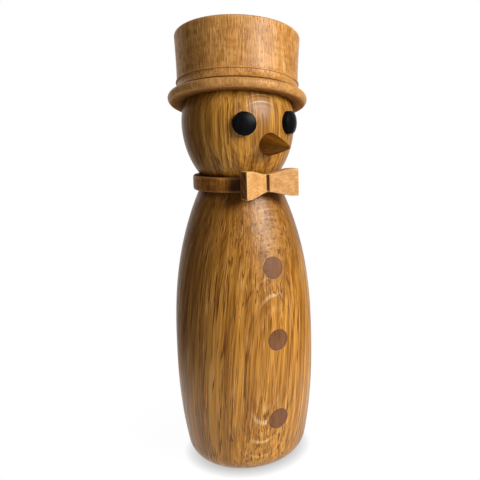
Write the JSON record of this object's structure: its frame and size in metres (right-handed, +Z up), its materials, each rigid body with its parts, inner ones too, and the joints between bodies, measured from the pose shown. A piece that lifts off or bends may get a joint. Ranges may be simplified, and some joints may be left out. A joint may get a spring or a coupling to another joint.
{
  "type": "wooden snowman figurine",
  "caption": "Turned wooden snowman figurine: barrel body with plug buttons, turning head with plug eyes and cone nose, loose collar ring with bow tie, and a lift-off top hat.",
  "frame": {"origin": "centre of the flat base on which the figure stands", "axes": "+Z up the body's turning axis, -Y towards the buttons, +X towards the figure's own left hand"},
  "size_m": [0.0664, 0.0763, 0.2059],
  "materials": {
    "oak": "oiled oak with cathedral grain, satin",
    "maple": "oiled pale fine-grained wood, satin",
    "black_stain": "black-stained hardwood, satin",
    "walnut": "oiled walnut, matt",
    "teak": "oiled dark red-brown wood, satin",
    "beech": "bare beech dowel, hidden"
  },
  "bodies": {
    "body": {"body": "oak", "neck_dowel": "beech", "button_top": "walnut", "button_middle": "walnut", "button_bottom": "walnut"},
    "head": {"head": "oak", "eye_left": "black_stain", "eye_right": "black_stain", "nose": "teak"},
    "collar": {"collar": "maple", "bow_tie": "maple", "bow_pin": "beech"},
    "hat": {"hat": "maple"}
  },
  "joints": [
    {"name": "head_turn", "type": "hinge", "parent": "body", "child": "head", "pos_m": [0, 0, 0.131], "axis": [0, 0, 1], "continuous": true},
    {"name": "collar_turn", "type": "hinge", "parent": "body", "child": "collar", "pos_m": [0, 0, 0.13267], "axis": [0, 0, 1], "continuous": true},
    {"name": "hat_lift", "type": "slide", "parent": "head", "child": "hat", "axis": [0.1271, 0.2058, 0.9703], "range_m": [0, 0.03]}
  ]
}
